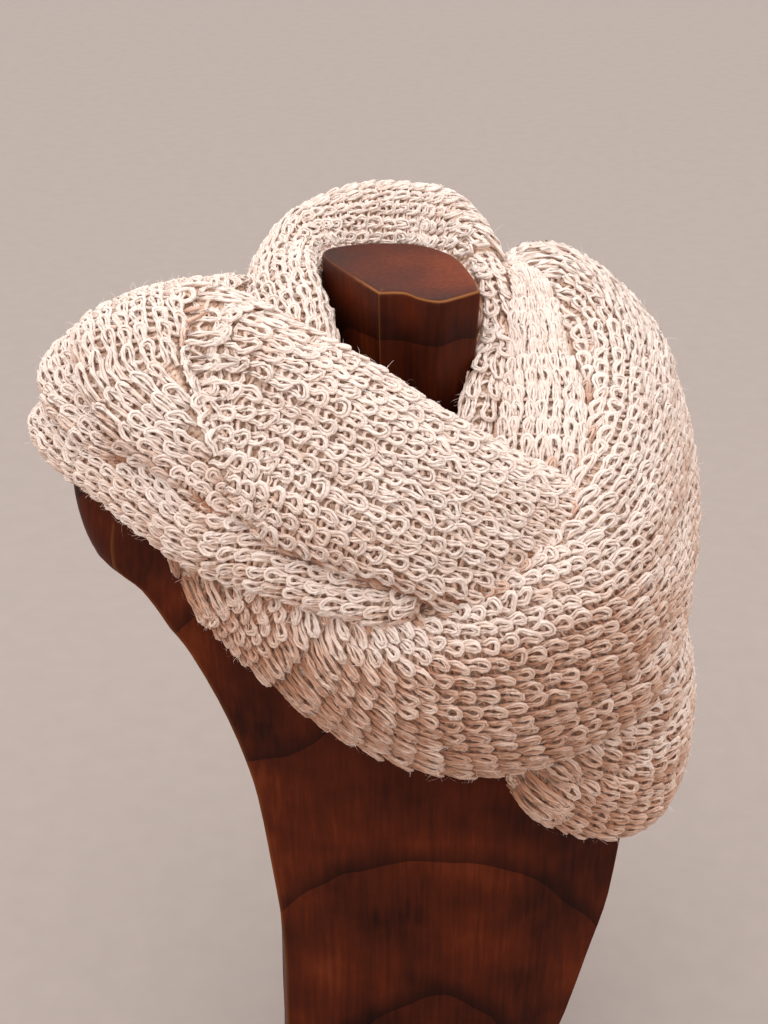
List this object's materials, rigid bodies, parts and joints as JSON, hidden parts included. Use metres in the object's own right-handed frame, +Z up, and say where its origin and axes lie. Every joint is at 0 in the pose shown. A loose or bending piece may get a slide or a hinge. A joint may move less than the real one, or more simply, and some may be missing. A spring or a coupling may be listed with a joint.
{
  "type": "infinity scarf on a carved wooden bust",
  "caption": "Chunky hand-knitted infinity scarf, wound twice round the neck of a limbless carved wooden bust that stands on its flat base.",
  "frame": {"origin": "in the plane of the bust's flat base, straight below the middle of the neck", "axes": "+Z up, +Y to the back, +X to the viewer's right as seen from the front"},
  "size_m": [0.4112, 0.2882, 0.6425],
  "materials": {
    "cream_knit": "loose chunky knit, matt and fuzzy",
    "reddish_wood": "carved, oiled, with a soft sheen"
  },
  "bodies": {
    "root": {"bust_form": "reddish_wood", "collar_back": "cream_knit", "inner_right": "cream_knit", "front_diagonal": "cream_knit", "shoulder_fold": "cream_knit", "under_fold": "cream_knit", "lower_fold": "cream_knit", "front_lower": "cream_knit", "right_lobe": "cream_knit", "back_low": "cream_knit"}
  },
  "joints": []
}
